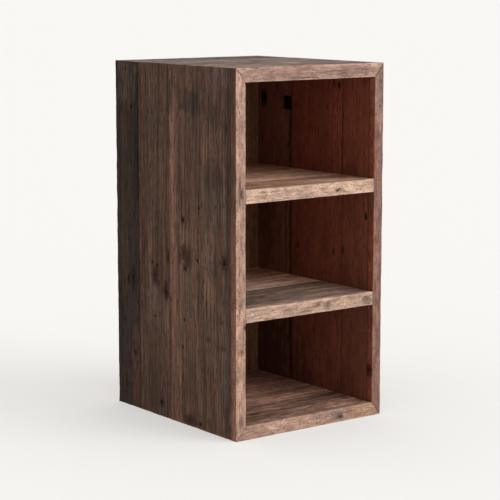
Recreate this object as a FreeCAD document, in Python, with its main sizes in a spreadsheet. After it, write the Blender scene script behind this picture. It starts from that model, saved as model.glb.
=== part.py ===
"""Open bathroom cabinet module of reclaimed boards, with two fixed shelves.

The carcass is four panels, each glued up from boards and mitred to its neighbours with a loose spline.
Solid edging covers the front edges, a back panel sits in a groove, and dowels and screws hold the shelves.

Frame: origin on the floor under the middle of the cabinet, +Z up, the open front faces -Y, +X to the
right as one looks into it. Sizes are in millimetres.
"""
import FreeCAD, Part
import os
import Sketcher

doc = FreeCAD.newDocument("OpenCabinet")

# ---------------------------------------------------------------------------------------------
# Driving dimensions
# ---------------------------------------------------------------------------------------------
SIZES = [
    # overall
    ("Width", 400),
    ("Depth", 450),
    ("Height", 780),
    # thickness of each panel
    ("SideThick", 25),
    ("TopThick", 30),
    ("BottomThick", 30),
    ("ShelfThick", 29),
    ("BackThick", 15),
    # edging strip, front to back
    ("EdgingDeep", 18),
    # board widths, counted from the front; the rear board of each panel fills what is left
    ("LeftFrontWide", 224.5),
    ("LeftMiddleWide", 117),
    ("RightFrontWide", 89),
    ("RightMiddleWide", 182.5),
    ("TopFrontWide", 150),
    ("TopMiddleWide", 150),
    ("BottomFrontWide", 112),
    ("BottomMiddleWide", 168),
    ("UpperFrontWide", 91),
    ("UpperMiddleWide", 150),
    ("LowerFrontWide", 157),
    ("LowerMiddleWide", 124),
    # back panel: how far its rear face is set in, its groove, and the slack left for movement
    ("BackInset", 20),
    ("GrooveDeep", 6),
    ("GrooveSlack", 0.5),
    # loose splines in the mitres; the share of the mitre's length is counted from the inner corner
    ("SplineWide", 16),
    ("SplineThick", 5),
    ("SplineSlack", 0.5),
    ("SplineShare", 0.4),
    # dowels
    ("DowelDia", 8),
    ("DowelInSide", 12),
    ("DowelInShelf", 24),
    ("DowelChamfer", 0.8),
    ("DowelEndMargin", 40),
    ("DowelRadialGap", 0.05),
    ("HoleEndGap", 1),
    # screws through the back panel
    ("ScrewShankDia", 3.5),
    ("ScrewHeadDia", 7),
    ("ScrewLong", 35),
    ("ScrewPointLong", 5),
    ("ScrewRecessWide", 1.1),
    ("ScrewRecessDeep", 1.4),
    ("ScrewGap", 0.1),
    # old mortise left in a reused board of the right side, beside its joint with the middle board
    ("MortiseLong", 30),
    ("MortiseWide", 28),
    ("MortiseDeep", 7),
    ("MortiseBelowTop", 102),
]
DOWELS_PER_SIDE = 3
BACK_BOARDS = 4
# the screw heads are 90 degree cones, so each side of a seat leans 45 degrees
COUNTERSINK_TAPER = 45
# smallest difference that counts, in millimetres or cubic millimetres
TINY = 1e-6

sheet = doc.addObject("Spreadsheet::Sheet", "Sizes")
for row, (alias, value) in enumerate(SIZES, start=1):
    sheet.set(f"A{row}", alias)
    sheet.set(f"B{row}", str(value))
    sheet.setAlias(f"B{row}", alias)
doc.recompute()


def cell(alias):
    """Expression that reads one size."""
    return f"Sizes.{alias}"


def value_of(expression):
    """Present value of an expression, in millimetres."""
    return float(sheet.evalExpression(f"({expression}) * 1"))


# Planes and lengths that several pieces share, as expressions of the sizes.
LEFT_OUT = f"(-{cell('Width')} / 2)"
LEFT_IN = f"({LEFT_OUT} + {cell('SideThick')})"
RIGHT_OUT = f"({cell('Width')} / 2)"
RIGHT_IN = f"({RIGHT_OUT} - {cell('SideThick')})"
FRONT = f"(-{cell('Depth')} / 2)"
REAR = f"({cell('Depth')} / 2)"
PANEL_FRONT = f"({FRONT} + {cell('EdgingDeep')})"
BACK_REAR = f"({REAR} - {cell('BackInset')})"
BACK_FRONT = f"({BACK_REAR} - {cell('BackThick')})"
FLOOR = "0"
TOP = f"({cell('Height')})"
UNDER_TOP = f"({TOP} - {cell('TopThick')})"
OVER_BOTTOM = f"({cell('BottomThick')})"
CLEAR_HIGH = f"(({UNDER_TOP} - {OVER_BOTTOM} - 2 * {cell('ShelfThick')}) / 3)"
LOWER_SHELF = f"({OVER_BOTTOM} + {CLEAR_HIGH})"
UPPER_SHELF = f"({LOWER_SHELF} + {cell('ShelfThick')} + {CLEAR_HIGH})"
SHELF_LEVELS = {"upper": UPPER_SHELF, "lower": LOWER_SHELF}


# ---------------------------------------------------------------------------------------------
# Sketch and feature helpers
# ---------------------------------------------------------------------------------------------
def new_body(label):
    body = doc.addObject("PartDesign::Body", label)
    body.Label = label
    return body


def new_sketch(body, name, role):
    """Sketch on one of the body's own origin planes."""
    plane = next(f for f in body.Origin.OriginFeatures if f.Role == role)
    sketch = body.newObject("Sketcher::SketchObject", name)
    sketch.AttachmentSupport = [(plane, "")]
    sketch.MapMode = "FlatFace"
    return sketch


def bind_point(sketch, geometry, position, point):
    """Fix one point of a sketch at a pair of expressions."""
    for kind, expression in zip(("DistanceX", "DistanceY"), point):
        number = value_of(expression)
        index = sketch.addConstraint(Sketcher.Constraint(kind, -1, 1, geometry, position, number))
        sketch.setExpression(f"Constraints[{index}]", expression)


def draw_outline(sketch, corners):
    """Closed straight-sided outline through corners given as expression pairs."""
    first = sketch.GeometryCount
    spots = [FreeCAD.Vector(value_of(across), value_of(up), 0) for across, up in corners]
    count = len(corners)
    for i in range(count):
        sketch.addGeometry(Part.LineSegment(spots[i], spots[(i + 1) % count]))
    for i in range(count):
        sketch.addConstraint(Sketcher.Constraint("Coincident", first + i, 2, first + (i + 1) % count, 1))
    for i, corner in enumerate(corners):
        bind_point(sketch, first + i, 1, corner)


def draw_circle(sketch, centre, diameter):
    """Circle at an expression pair, with its diameter an expression."""
    spot = FreeCAD.Vector(value_of(centre[0]), value_of(centre[1]), 0)
    circle = Part.Circle(spot, FreeCAD.Vector(0, 0, 1), value_of(diameter) / 2)
    index = sketch.addGeometry(circle)
    bind_point(sketch, index, 3, centre)
    size = sketch.addConstraint(Sketcher.Constraint("Diameter", index, value_of(diameter)))
    sketch.setExpression(f"Constraints[{size}]", diameter)


def rectangle(low_across, low_up, high_across, high_up):
    return [(low_across, low_up), (high_across, low_up), (high_across, high_up), (low_across, high_up)]


def pad_between(body, name, sketch, start, end):
    """Pad a sketch on the XZ plane, whose own normal is -Y, from one expression to another along +Y."""
    pad = body.newObject("PartDesign::Pad", name)
    pad.Profile = sketch
    pad.Reversed = True
    sketch.setExpression("AttachmentOffset.Base.z", f"-({start})")
    pad.setExpression("Length", f"({end}) - ({start})")
    body.Tip = pad
    doc.recompute()


def cut_between(body, name, sketch, start, end, taper=0):
    """Pocket a sketch from one expression to another along +X or +Y, widening by the taper in degrees."""
    before = body.Shape.Volume
    pocket = body.newObject("PartDesign::Pocket", name)
    pocket.Profile = sketch
    # the XZ plane's own normal is -Y and the YZ plane's is +X
    backwards = sketch.AttachmentSupport[0][0].Role == "XZ_Plane"
    offset_sign = "-" if backwards else ""
    sketch.setExpression("AttachmentOffset.Base.z", f"{offset_sign}({start})")
    pocket.setExpression("Length", f"({end}) - ({start})")
    pocket.Reversed = not backwards
    pocket.TaperAngle = taper
    body.Tip = pocket
    doc.recompute()
    if not body.Shape.Volume < before - TINY:
        raise RuntimeError(f"{body.Label}: {name} removed nothing")


def board(label, section, start, end):
    """Board whose section in the XZ plane is swept front to back between two expressions."""
    body = new_body(label)
    sketch = new_sketch(body, "Section", "XZ_Plane")
    draw_outline(sketch, section)
    pad_between(body, "Blank", sketch, start, end)
    return body


# ---------------------------------------------------------------------------------------------
# Carcass sections, mitres and splines
# ---------------------------------------------------------------------------------------------
SECTIONS = {
    "left": [(LEFT_OUT, FLOOR), (LEFT_OUT, TOP), (LEFT_IN, UNDER_TOP), (LEFT_IN, OVER_BOTTOM)],
    "right": [(RIGHT_OUT, FLOOR), (RIGHT_IN, OVER_BOTTOM), (RIGHT_IN, UNDER_TOP), (RIGHT_OUT, TOP)],
    "top": [(LEFT_OUT, TOP), (RIGHT_OUT, TOP), (RIGHT_IN, UNDER_TOP), (LEFT_IN, UNDER_TOP)],
    "bottom": [(LEFT_OUT, FLOOR), (LEFT_IN, OVER_BOTTOM), (RIGHT_IN, OVER_BOTTOM), (RIGHT_OUT, FLOOR)],
}

# Each mitre runs from the carcass's outer corner to its inner corner: which way its inner corner lies.
MITRES = {
    "top_left": (1, -1, LEFT_IN, UNDER_TOP, cell("TopThick")),
    "top_right": (-1, -1, RIGHT_IN, UNDER_TOP, cell("TopThick")),
    "bottom_left": (1, 1, LEFT_IN, OVER_BOTTOM, cell("BottomThick")),
    "bottom_right": (-1, 1, RIGHT_IN, OVER_BOTTOM, cell("BottomThick")),
}


def spline_outline(corner, half_wide, half_thick):
    """Corners of a rectangle laid square across a mitre, as expression pairs."""
    inward_x, inward_z, inner_x, inner_z, thick = MITRES[corner]
    side = cell("SideThick")
    length = f"(sqrt({side} * {side} + {thick} * {thick}))"
    along = (f"({inward_x} * {side} / {length})", f"({inward_z} * {thick} / {length})")
    across = (f"({-inward_z} * {thick} / {length})", f"({inward_x} * {side} / {length})")
    centre_x = f"({inner_x} - {inward_x} * {side} * {cell('SplineShare')})"
    centre_z = f"({inner_z} - {inward_z} * {thick} * {cell('SplineShare')})"
    signs = [(-1, -1), (1, -1), (1, 1), (-1, 1)]
    return [
        (
            f"{centre_x} + {u} * {half_wide} * {across[0]} + {v} * {half_thick} * {along[0]}",
            f"{centre_z} + {u} * {half_wide} * {across[1]} + {v} * {half_thick} * {along[1]}",
        )
        for u, v in signs
    ]


def cut_spline_slot(body, corner, start, end):
    """Slot for half of a spline; it is longer than the spline by the slack at each end."""
    sketch = new_sketch(body, f"Slot_{corner}", "XZ_Plane")
    half_wide = f"({cell('SplineWide')} / 2 + {cell('SplineSlack')})"
    half_thick = f"({cell('SplineThick')} / 2)"
    draw_outline(sketch, spline_outline(corner, half_wide, half_thick))
    cut_between(body, f"SlotCut_{corner}", sketch, start, end)


def make_splines():
    splines = []
    for corner in MITRES:
        outline = spline_outline(corner, f"({cell('SplineWide')} / 2)", f"({cell('SplineThick')} / 2)")
        splines.append(board(f"mitre_spline_{corner}", outline, PANEL_FRONT, REAR))
    return splines


def split_depth(front_wide, middle_wide, rear_end):
    """Front-to-back limits of a panel's three boards."""
    first_joint = f"({PANEL_FRONT} + {cell(front_wide)})"
    second_joint = f"({first_joint} + {cell(middle_wide)})"
    limits = [PANEL_FRONT, first_joint, second_joint, rear_end]
    return list(zip(("front", "middle", "rear"), limits[:-1], limits[1:]))


# ---------------------------------------------------------------------------------------------
# Back panel groove
# ---------------------------------------------------------------------------------------------
GROOVE_LEFT = f"({LEFT_IN} - {cell('GrooveDeep')})"
GROOVE_RIGHT = f"({RIGHT_IN} + {cell('GrooveDeep')})"
GROOVE_TOP = f"({UNDER_TOP} + {cell('GrooveDeep')})"
GROOVE_BOTTOM = f"({OVER_BOTTOM} - {cell('GrooveDeep')})"


def cut_back_groove(body):
    """Part of the groove for the back panel that falls in this board."""
    sketch = new_sketch(body, "BackGroove", "XZ_Plane")
    draw_outline(sketch, rectangle(GROOVE_LEFT, GROOVE_BOTTOM, GROOVE_RIGHT, GROOVE_TOP))
    cut_between(body, "BackGrooveCut", sketch, BACK_FRONT, BACK_REAR)


def reaches(limits, start, end):
    """True where a board between two limits overlaps the span from start to end."""
    low, high = (value_of(limit) for limit in limits)
    return low < value_of(end) - TINY and high > value_of(start) + TINY


# ---------------------------------------------------------------------------------------------
# Dowels and screws: where they sit
# ---------------------------------------------------------------------------------------------
def dowel_places():
    """Y of each dowel, spread evenly between the end margins."""
    first = f"({PANEL_FRONT} + {cell('DowelEndMargin')})"
    last = f"({BACK_FRONT} - {cell('DowelEndMargin')})"
    gaps = DOWELS_PER_SIDE - 1
    return [f"({first} + ({last} - {first}) * {i} / {gaps})" for i in range(DOWELS_PER_SIDE)]


def back_board_edge(index):
    """X of a back board's left edge; the last index is the right edge of the last board."""
    left = f"({GROOVE_LEFT} + {cell('GrooveSlack')})"
    right = f"({GROOVE_RIGHT} - {cell('GrooveSlack')})"
    return f"({left} + ({right} - {left}) * {index} / {BACK_BOARDS})"


def screw_places():
    """X of each screw: the middle of each back board."""
    return [f"(({back_board_edge(i)} + {back_board_edge(i + 1)}) / 2)" for i in range(BACK_BOARDS)]


def middle_of_shelf(level):
    return f"({SHELF_LEVELS[level]} + {cell('ShelfThick')} / 2)"


DOWEL_HOLE_DIA = f"({cell('DowelDia')} + 2 * {cell('DowelRadialGap')})"
SCREW_HOLE_DIA = f"({cell('ScrewShankDia')} + 2 * {cell('ScrewGap')})"
HEAD_HIGH = f"(({cell('ScrewHeadDia')} - {cell('ScrewShankDia')}) / 2)"


def cut_dowel_holes(body, name, limits, levels, start, end):
    """Dowel holes along X for the dowels whose holes fall in this board."""
    radius = f"({DOWEL_HOLE_DIA} / 2)"
    spots = []
    for place in dowel_places():
        if reaches(limits, f"({place} - {radius})", f"({place} + {radius})"):
            spots += [(place, middle_of_shelf(level)) for level in levels]
    if not spots:
        return
    sketch = new_sketch(body, name, "YZ_Plane")
    for spot in spots:
        draw_circle(sketch, spot, DOWEL_HOLE_DIA)
    cut_between(body, f"{name}Cut", sketch, start, end)


# ---------------------------------------------------------------------------------------------
# Sides
# ---------------------------------------------------------------------------------------------
def make_side(hand, front_wide, middle_wide):
    boards = []
    if hand == "left":
        hole_start = f"({LEFT_IN} - {cell('DowelInSide')} - {cell('HoleEndGap')})"
        hole_end = LEFT_IN
    else:
        hole_start = RIGHT_IN
        hole_end = f"({RIGHT_IN} + {cell('DowelInSide')} + {cell('HoleEndGap')})"
    for place, start, end in split_depth(front_wide, middle_wide, REAR):
        body = board(f"{hand}_side_board_{place}", SECTIONS[hand], start, end)
        for corner in (f"top_{hand}", f"bottom_{hand}"):
            cut_spline_slot(body, corner, start, end)
        if reaches((start, end), BACK_FRONT, BACK_REAR):
            cut_back_groove(body)
        cut_dowel_holes(body, "DowelHoles", (start, end), SHELF_LEVELS, hole_start, hole_end)
        boards.append(body)
    return boards


def cut_mortise(body, joint):
    """Shallow old mortise in the inner face of the right side's rear board, open at the board's joint."""
    sketch = new_sketch(body, "Mortise", "YZ_Plane")
    far_end = f"({joint} + {cell('MortiseWide')})"
    low = f"({TOP} - {cell('MortiseBelowTop')} - {cell('MortiseLong')} / 2)"
    high = f"({TOP} - {cell('MortiseBelowTop')} + {cell('MortiseLong')} / 2)"
    draw_outline(sketch, rectangle(joint, low, far_end, high))
    cut_between(body, "MortiseCut", sketch, RIGHT_IN, f"({RIGHT_IN} + {cell('MortiseDeep')})")


# ---------------------------------------------------------------------------------------------
# Top, bottom and shelves
# ---------------------------------------------------------------------------------------------
def make_carcass_panel(name, front_wide, middle_wide):
    boards = []
    for place, start, end in split_depth(front_wide, middle_wide, REAR):
        body = board(f"{name}_board_{place}", SECTIONS[name], start, end)
        for hand in ("left", "right"):
            cut_spline_slot(body, f"{name}_{hand}", start, end)
        if reaches((start, end), BACK_FRONT, BACK_REAR):
            cut_back_groove(body)
        boards.append(body)
    return boards


def cut_pilot_holes(body, level):
    """Pilot holes for the back panel's screws in a shelf's rear edge."""
    sketch = new_sketch(body, "PilotHoles", "XZ_Plane")
    for place in screw_places():
        draw_circle(sketch, (place, middle_of_shelf(level)), SCREW_HOLE_DIA)
    tip = f"({BACK_REAR} - {cell('ScrewLong')} - {cell('HoleEndGap')})"
    cut_between(body, "PilotHolesCut", sketch, tip, BACK_FRONT)


def make_shelf(level, front_wide, middle_wide):
    boards = []
    low = SHELF_LEVELS[level]
    section = rectangle(LEFT_IN, low, RIGHT_IN, f"({low} + {cell('ShelfThick')})")
    hole_deep = f"({cell('DowelInShelf')} + {cell('HoleEndGap')})"
    for place, start, end in split_depth(front_wide, middle_wide, BACK_FRONT):
        body = board(f"{level}_shelf_board_{place}", section, start, end)
        limits = (start, end)
        cut_dowel_holes(body, "LeftHoles", limits, [level], LEFT_IN, f"({LEFT_IN} + {hole_deep})")
        cut_dowel_holes(body, "RightHoles", limits, [level], f"({RIGHT_IN} - {hole_deep})", RIGHT_IN)
        if place == "rear":
            cut_pilot_holes(body, level)
        boards.append(body)
    return boards


# ---------------------------------------------------------------------------------------------
# Back panel
# ---------------------------------------------------------------------------------------------
def make_back():
    boards = []
    low = f"({GROOVE_BOTTOM} + {cell('GrooveSlack')})"
    high = f"({GROOVE_TOP} - {cell('GrooveSlack')})"
    for i in range(BACK_BOARDS):
        section = rectangle(back_board_edge(i), low, back_board_edge(i + 1), high)
        body = board(f"back_board_{i + 1}", section, BACK_FRONT, BACK_REAR)
        cut_screw_seats(body, screw_places()[i])
        boards.append(body)
    return boards


def cut_screw_seats(body, place):
    """Clearance holes and 90 degree countersinks for the two screws of one back board."""
    spots = [(place, middle_of_shelf(level)) for level in SHELF_LEVELS]
    holes = new_sketch(body, "ScrewHoles", "XZ_Plane")
    for spot in spots:
        draw_circle(holes, spot, SCREW_HOLE_DIA)
    cut_between(body, "ScrewHolesCut", holes, BACK_FRONT, BACK_REAR)
    seats = new_sketch(body, "Countersinks", "XZ_Plane")
    for spot in spots:
        draw_circle(seats, spot, SCREW_HOLE_DIA)
    bottom = f"({BACK_REAR} - {HEAD_HIGH})"
    cut_between(body, "CountersinksCut", seats, bottom, BACK_REAR, COUNTERSINK_TAPER)


# ---------------------------------------------------------------------------------------------
# Edging
# ---------------------------------------------------------------------------------------------
def make_edging():
    pieces = [board(f"edging_{name}", SECTIONS[name], FRONT, PANEL_FRONT) for name in SECTIONS]
    for level, low in SHELF_LEVELS.items():
        section = rectangle(LEFT_IN, low, RIGHT_IN, f"({low} + {cell('ShelfThick')})")
        pieces.append(board(f"{level}_shelf_edging", section, FRONT, PANEL_FRONT))
    return pieces


# ---------------------------------------------------------------------------------------------
# Dowels and screws
# ---------------------------------------------------------------------------------------------
def dowel_shape(inner_x, into_shelf, place_y, place_z):
    """Chamfered dowel along X through the joint plane at inner_x; into_shelf is 1 or -1 along X."""
    length = value_of(f"{cell('DowelInSide')} + {cell('DowelInShelf')}")
    start_x = inner_x - into_shelf * value_of(cell("DowelInSide"))
    start = FreeCAD.Vector(start_x, place_y, place_z)
    direction = FreeCAD.Vector(into_shelf, 0, 0)
    peg = Part.makeCylinder(value_of(cell("DowelDia")) / 2, length, start, direction)
    rims = [edge for edge in peg.Edges if isinstance(edge.Curve, Part.Circle)]
    return peg.makeChamfer(value_of(cell("DowelChamfer")), rims)


def screw_shape(place_x, place_z):
    """Countersunk wood screw along Y with its head flush with the back panel's rear face."""
    shank = value_of(cell("ScrewShankDia")) / 2
    head = value_of(cell("ScrewHeadDia")) / 2
    head_high = value_of(HEAD_HIGH)
    length = value_of(cell("ScrewLong"))
    point = value_of(cell("ScrewPointLong"))
    profile = [(0, 0), (head, 0), (shank, head_high), (shank, length - point), (0, length), (0, 0)]
    rear = value_of(BACK_REAR)
    outline = Part.makePolygon([FreeCAD.Vector(place_x + r, rear - y, place_z) for r, y in profile])
    axis_point = FreeCAD.Vector(place_x, rear, place_z)
    solid = Part.Face(outline).revolve(axis_point, FreeCAD.Vector(0, 1, 0), 360)
    wide = value_of(cell("ScrewRecessWide"))
    deep = value_of(cell("ScrewRecessDeep"))
    # the cross recess spans half of the head's diameter
    span = head
    for size_x, size_z in ((span, wide), (wide, span)):
        corner = FreeCAD.Vector(place_x - size_x / 2, rear - deep, place_z - size_z / 2)
        solid = solid.cut(Part.makeBox(size_x, deep, size_z, corner))
    return solid


def group_of(label, shapes):
    """Identical fasteners as one object that holds separate solids."""
    feature = doc.addObject("Part::Feature", label)
    feature.Label = label
    feature.Shape = Part.makeCompound([solid for shape in shapes for solid in shape.Solids])
    feature.Placement = FreeCAD.Placement()
    return feature


def make_fasteners():
    groups = []
    for level in SHELF_LEVELS:
        middle = value_of(middle_of_shelf(level))
        dowels = []
        for place in dowel_places():
            place_y = value_of(place)
            dowels.append(dowel_shape(value_of(LEFT_IN), 1, place_y, middle))
            dowels.append(dowel_shape(value_of(RIGHT_IN), -1, place_y, middle))
        groups.append(group_of(f"{level}_shelf_dowels", dowels))
        screws = [screw_shape(value_of(place), middle) for place in screw_places()]
        groups.append(group_of(f"{level}_shelf_screws", screws))
    return groups


# ---------------------------------------------------------------------------------------------
# Build, check and write
# ---------------------------------------------------------------------------------------------
left_side = make_side("left", "LeftFrontWide", "LeftMiddleWide")
right_side = make_side("right", "RightFrontWide", "RightMiddleWide")
cut_mortise(right_side[-1], split_depth("RightFrontWide", "RightMiddleWide", REAR)[-1][1])
pieces = left_side + right_side
pieces += make_carcass_panel("top", "TopFrontWide", "TopMiddleWide")
pieces += make_carcass_panel("bottom", "BottomFrontWide", "BottomMiddleWide")
pieces += make_shelf("upper", "UpperFrontWide", "UpperMiddleWide")
pieces += make_shelf("lower", "LowerFrontWide", "LowerMiddleWide")
pieces += make_back()
pieces += make_edging()
pieces += make_splines()
pieces += make_fasteners()
doc.recompute()

for item in doc.Objects:
    if "Invalid" in item.State or "Error" in item.State:
        raise RuntimeError(f"{item.Label} failed: {item.State}")

os.makedirs("parts", exist_ok=True)
for piece in pieces:
    if piece.Shape.isNull() or not piece.Shape.isValid():
        raise RuntimeError(f"{piece.Label} has no valid shape")
    piece.Shape.exportStep(f"parts/{piece.Label}.step")
print(f"{len(pieces)} pieces written")
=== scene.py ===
"""Looks of the open reclaimed-wood vanity cabinet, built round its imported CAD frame.

Every board and edging is a detailed mesh in its CAD node's box, with mitred ends, worn arrises, cracks,
holes and the mortise. Its grain, knots and stains are in its material. Sizes are in millimetres until a mesh
is made, and the frame is in metres. A board's own axes are called along (with the grain), across (its width)
and deep (its thickness).
"""

import math

import bpy
import numpy as np
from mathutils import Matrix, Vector, noise


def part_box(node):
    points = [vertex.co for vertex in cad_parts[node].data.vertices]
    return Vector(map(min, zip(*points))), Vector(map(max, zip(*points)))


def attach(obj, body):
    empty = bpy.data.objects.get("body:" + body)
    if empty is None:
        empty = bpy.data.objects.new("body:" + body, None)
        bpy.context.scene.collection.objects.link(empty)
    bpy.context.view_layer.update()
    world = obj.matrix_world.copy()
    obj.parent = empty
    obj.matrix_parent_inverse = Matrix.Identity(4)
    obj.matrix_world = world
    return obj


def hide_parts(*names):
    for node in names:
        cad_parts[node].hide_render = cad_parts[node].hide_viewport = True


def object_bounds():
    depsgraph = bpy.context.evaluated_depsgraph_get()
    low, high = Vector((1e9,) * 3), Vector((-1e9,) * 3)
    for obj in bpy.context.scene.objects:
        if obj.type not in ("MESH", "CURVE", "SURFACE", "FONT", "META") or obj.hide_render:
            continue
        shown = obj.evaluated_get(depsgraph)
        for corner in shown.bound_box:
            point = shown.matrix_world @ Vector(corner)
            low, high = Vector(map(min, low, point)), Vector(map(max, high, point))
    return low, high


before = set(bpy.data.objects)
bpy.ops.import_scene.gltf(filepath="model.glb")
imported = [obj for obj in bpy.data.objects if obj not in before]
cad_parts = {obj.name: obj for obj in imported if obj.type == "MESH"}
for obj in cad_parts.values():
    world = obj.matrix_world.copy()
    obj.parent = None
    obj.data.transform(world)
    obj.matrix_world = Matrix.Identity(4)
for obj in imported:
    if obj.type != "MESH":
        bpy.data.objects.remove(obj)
CAD_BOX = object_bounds()

MM = 0.001
PLANK = (2, 1, 0)       # along Z, across Y, deep X: the sides
SHELF = (0, 1, 2)       # along X, across Y, deep Z: top, bottom and shelves
PANEL = (2, 0, 1)       # along Z, across X, deep Y: back boards and upright edging
RAIL = (0, 2, 1)        # along X, across Z, deep Y: level edging

SIDE_THICK = 25.0
LEVEL_THICK = 30.0      # of the top and the bottom
MITRE_RUN = 60.0        # a mitred end is sheared over this length
JOINT_RADIUS = 0.6      # of an arris where boards meet
WEAR_RADIUS = 1.0       # an arris with a larger radius looks worn, a smaller one looks like a joint
ARRIS_REACH = 14.0      # only points this near an arris are rounded or worn
SKIN = 0.12             # how far a face lies inside its CAD face, before its waves
PANEL_MIDDLE = 197.5    # the sides' inner colour ends at this Y, inside the back panel
BOARD_SPACING = 5.5     # of the grid along and across a board
PANEL_SPACING = 6.5     # the same on the back panel
EDGE_SPACING = 3.6      # the same on the edging
DEEP_SPACING = 9.0      # of the grid through a board's thickness
END_STEPS = (0.35, 0.9, 1.7, 3.0)       # closer grid lines this far from each end
LEAST_SPACING = 0.24
CRACK_SWING = 4.0       # how far a crack strays from its line
CRACK_REACH = 4.8       # how far its grid lines go to each side of that line
CRACK_SPACING = 1.2
SLOT_SHARES = (-1.04, -1.0)             # grid lines beside a slot, as shares of its half size
HOLE_SHARES = (-1.2, -0.85, -0.35)      # the same beside a hole
DARK_GROWTH = 0.6       # a flaw's dark part, its own dirt and painted shade in the hollow, is this much larger all round and fully dark from this depth
DARK_DEPTH = 2.0        # and fully dark from this depth
LONG_WAVE, LONG_SCALE = 0.10, 0.016     # height of a face's long waves, and the scale of their noise
SHORT_WAVE, SHORT_SCALE = 0.05, 0.06    # the same for its short waves
WAVE_LIMITS = (-0.1, 0.2)
SEED_STEP = 7.31        # moves a board's noise, so that no two boards are alike


# ---------------------------------------------------------------- board shapes

def noise_at(points, scale, seed):
    """Smooth repeatable noise, about -1 to 1, at each row of points."""
    shifted = np.asarray(points, float) * scale + seed * SEED_STEP
    return np.array([noise.noise(p) for p in shifted.tolist()])


def grid_lines(low, high, spacing, extra):
    """Grid places from low to high: evenly spaced, closer at both ends, with extra ones where asked."""
    count = max(2, round((high - low) / spacing))
    places = list(np.linspace(low, high, count + 1))
    for step in END_STEPS:
        places += [low + step, high - step]
    places += [p for p in extra if low < p < high]
    places = np.unique(np.round(places, 3))
    keep = [places[0]]
    for place in places[1:-1]:
        if place - keep[-1] > LEAST_SPACING and places[-1] - place > LEAST_SPACING:
            keep.append(place)
    return np.array(keep + [places[-1]])


def box_surface(lines):
    """Points and quads of a box's skin, on the grid that the three lists of places make."""
    counts = [len(line) for line in lines]
    skin = np.zeros(counts, bool)
    for axis in range(3):
        edge = [slice(None)] * 3
        edge[axis] = [0, -1]
        skin[tuple(edge)] = True
    index = np.full(counts, -1)
    index[skin] = np.arange(skin.sum())
    points = np.stack([g[skin] for g in np.meshgrid(*lines, indexing="ij")], axis=1)
    quads = []
    for axis in range(3):
        for side in (0, -1):
            sheet = np.take(index, side, axis)
            quad = np.stack([sheet[:-1, :-1], sheet[1:, :-1], sheet[1:, 1:], sheet[:-1, 1:]], axis=-1)
            quad = quad.reshape(-1, 4)
            outward = (side == -1) == (axis != 1)
            quads.append(quad if outward else quad[:, ::-1])
    return points, np.concatenate(quads)


def flaw_lines(flaws):
    """Extra grid places beside each flaw, along and across the board."""
    along, across = [], []
    for kind, at, beside, half_long, half_wide, _ in flaws:
        if kind == "crack":
            end = beside + CRACK_REACH + CRACK_SPACING / 2
            across += list(np.arange(beside - CRACK_REACH, end, CRACK_SPACING))
            continue
        shares = SLOT_SHARES if kind == "slot" else HOLE_SHARES
        for share in shares + tuple(-share for share in shares):
            along.append(at + share * half_long)
            across.append(beside + share * half_wide)
    return along, across


def flaw_depth(points, flaws, seed, grown=0.0):
    """How far each point is sunk by the holes, cracks and slots, each grown by that much all round."""
    depth = np.zeros(len(points))
    along, across = points[:, 0], points[:, 1]
    for kind, at, beside, half_long, half_wide, deep in flaws:
        half_long, half_wide = half_long + grown, half_wide + grown
        share_long = (along - at) / half_long
        if kind == "crack":
            near = np.abs(share_long) < 1
            course = np.zeros(len(points))
            course[near] = CRACK_SWING * noise_at(points[near] * (1, 0, 0), 0.035, seed + at)
            width = half_wide * np.sqrt(np.clip(1 - share_long ** 2, 1e-6, 1))
            amount = np.where(near, np.clip(1 - np.abs(across - beside - course) / width, 0, 1), 0)
        elif kind == "slot":
            inside = (np.abs(share_long) <= 1) & (np.abs(across - beside) <= half_wide)
            amount = np.where(inside, 1.0, 0.0)
        else:
            share = share_long ** 2 + ((across - beside) / half_wide) ** 2
            amount = np.sqrt(np.clip(1 - share, 0, 1))
        depth = np.maximum(depth, deep * amount)
    return depth


def soften(points, low, high, radii, seed):
    """Rounds the twelve arrises, each to its own radius. Returns how worn and how jointed each point is."""
    worn, jointed = np.zeros(len(points)), np.zeros(len(points))
    shift = np.zeros_like(points)
    for first, second in ((0, 1), (0, 2), (1, 2)):
        for side_1 in (0, 1):
            for side_2 in (0, 1):
                name = "abc"[first] + "-+"[side_1] + "abc"[second] + "-+"[side_2]
                radius = radii.get(name, JOINT_RADIUS)
                gaps = []
                for axis, side in ((first, side_1), (second, side_2)):
                    gaps.append(high[axis] - points[:, axis] if side else points[:, axis] - low[axis])
                near = np.flatnonzero((gaps[0] < ARRIS_REACH) & (gaps[1] < ARRIS_REACH))
                come_and_go = noise_at(points[near], 0.028, seed)
                come_and_go += 0.6 * noise_at(points[near], 0.11, seed + 3)
                local = radius * np.clip(0.85 + 0.75 * come_and_go, 0.35, 1.6)
                gap_1, gap_2 = gaps[0][near], gaps[1][near]
                over_1, over_2 = np.clip(local - gap_1, 0, None), np.clip(local - gap_2, 0, None)
                both = (over_1 > 0) & (over_2 > 0)
                reach = np.hypot(over_1, over_2)
                keep = np.where(both, np.maximum(over_1, over_2) / np.maximum(reach, 1e-9), 1.0)
                shift[near, first] += over_1 * (1 - keep) * (-1 if side_1 else 1)
                shift[near, second] += over_2 * (1 - keep) * (-1 if side_2 else 1)
                spread = 1.5 + radius if radius > WEAR_RADIUS else 1.2
                closeness = np.exp(-np.hypot(gap_1, gap_2) / spread)
                if radius > WEAR_RADIUS:
                    worn[near] = np.maximum(worn[near], closeness)
                else:
                    jointed[near] = np.maximum(jointed[near], closeness * min(1, radius / JOINT_RADIUS))
    points += shift
    return worn, jointed


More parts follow.
